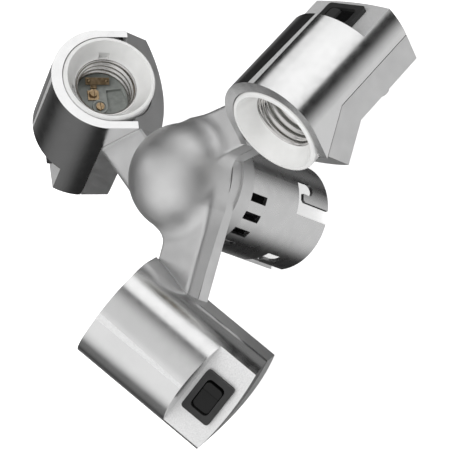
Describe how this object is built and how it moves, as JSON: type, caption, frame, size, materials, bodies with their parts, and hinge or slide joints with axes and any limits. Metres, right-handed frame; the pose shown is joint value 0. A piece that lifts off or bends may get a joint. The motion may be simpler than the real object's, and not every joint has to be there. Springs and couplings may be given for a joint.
{
  "type": "three-lamp studio light head",
  "caption": "Domed die-cast hub on a bayonet tube, carrying tilted Edison screw lamp holders with ceramic sockets and rocker switches.",
  "frame": {"origin": "centre of the tube's open rim", "axes": "+Z along the tube's axis towards the domed front; lamp holder a points towards +Y"},
  "size_m": [0.2056, 0.2003, 0.1063],
  "materials": {
    "cast_alloy": "satin polished die casting",
    "cover_alloy": "polished die casting with fine matte switch pads",
    "tube_metal": "satin turned",
    "zinc_steel": "bright zinc plate",
    "nickel": "nickel plated pressed shell",
    "brass": "slightly tarnished",
    "ceramic": "white glaze",
    "switch_case": "fine texture",
    "rocker_black": "gloss",
    "dark_plastic": "moulded",
    "block_plastic": "moulded",
    "black_rubber": "moulded",
    "lead_black": "silicone insulation",
    "lead_white": "silicone insulation"
  },
  "bodies": {
    "head": {"front_casting": "cast_alloy", "rear_casting": "cast_alloy", "mount_tube": "tube_metal", "clamp_plate": "zinc_steel", "cable_grommet": "black_rubber", "terminal_block": "block_plastic", "terminal_screws": "brass", "block_screws": "zinc_steel", "casting_screws": "zinc_steel", "tube_screws": "zinc_steel", "connector_insert": "dark_plastic", "connector_pins": "brass", "connector_standoffs": "zinc_steel", "supply_leads": "lead_white", "earth_screw": "brass", "lamp_cover_a": "cover_alloy", "lamp_socket_a": "ceramic", "screw_shell_a": "nickel", "contact_bar_a": "brass", "contact_screws_a": "brass", "socket_screws_a": "zinc_steel", "switch_body_a": "switch_case", "switch_terminals_a": "brass", "cover_screws_a": "zinc_steel", "lamp_leads_a": "lead_black", "lamp_cover_b": "cover_alloy", "lamp_socket_b": "ceramic", "screw_shell_b": "nickel", "contact_bar_b": "brass", "contact_screws_b": "brass", "socket_screws_b": "zinc_steel", "switch_body_b": "switch_case", "switch_terminals_b": "brass", "cover_screws_b": "zinc_steel", "lamp_leads_b": "lead_black", "lamp_cover_c": "cover_alloy", "lamp_socket_c": "ceramic", "screw_shell_c": "nickel", "contact_bar_c": "brass", "contact_screws_c": "brass", "socket_screws_c": "zinc_steel", "switch_body_c": "switch_case", "switch_terminals_c": "brass", "cover_screws_c": "zinc_steel", "lamp_leads_c": "lead_black"},
    "rocker_a": {"switch_rocker_a": "rocker_black"},
    "contact_a": {"centre_contact_a": "brass"},
    "rocker_b": {"switch_rocker_b": "rocker_black"},
    "contact_b": {"centre_contact_b": "brass"},
    "rocker_c": {"switch_rocker_c": "rocker_black"},
    "contact_c": {"centre_contact_c": "brass"}
  },
  "joints": [
    {"name": "rocker_a_tilt", "type": "hinge", "parent": "head", "child": "rocker_a", "pos_m": [-0.08131, 0.0573, 0.06211], "axis": [0.8192, 0, 0.5736], "range_deg": [0, 16]},
    {"name": "rocker_b_tilt", "type": "hinge", "parent": "head", "child": "rocker_b", "pos_m": [0.09028, 0.04177, 0.06211], "axis": [-0.4096, -0.7094, 0.5736], "range_deg": [0, 16]},
    {"name": "rocker_c_tilt", "type": "hinge", "parent": "head", "child": "rocker_c", "pos_m": [-0.00897, -0.09907, 0.06211], "axis": [-0.4096, 0.7094, 0.5736], "range_deg": [0, 16]},
    {"name": "contact_a_flex", "type": "hinge", "parent": "head", "child": "contact_a", "pos_m": [-0.04201, 0.0624, 0.07633], "axis": [-0.5736, 0, 0.8192], "range_deg": [0, 10], "stiffness_Nm_per_rad": 0.25, "springref_deg": -2.86},
    {"name": "contact_b_flex", "type": "hinge", "parent": "head", "child": "contact_b", "pos_m": [0.07504, 0.00518, 0.07633], "axis": [0.2868, 0.4967, 0.8192], "range_deg": [0, 10], "stiffness_Nm_per_rad": 0.25, "springref_deg": -2.86},
    {"name": "contact_c_flex", "type": "hinge", "parent": "head", "child": "contact_c", "pos_m": [-0.03304, -0.06758, 0.07633], "axis": [0.2868, -0.4967, 0.8192], "range_deg": [0, 10], "stiffness_Nm_per_rad": 0.25, "springref_deg": -2.86}
  ]
}
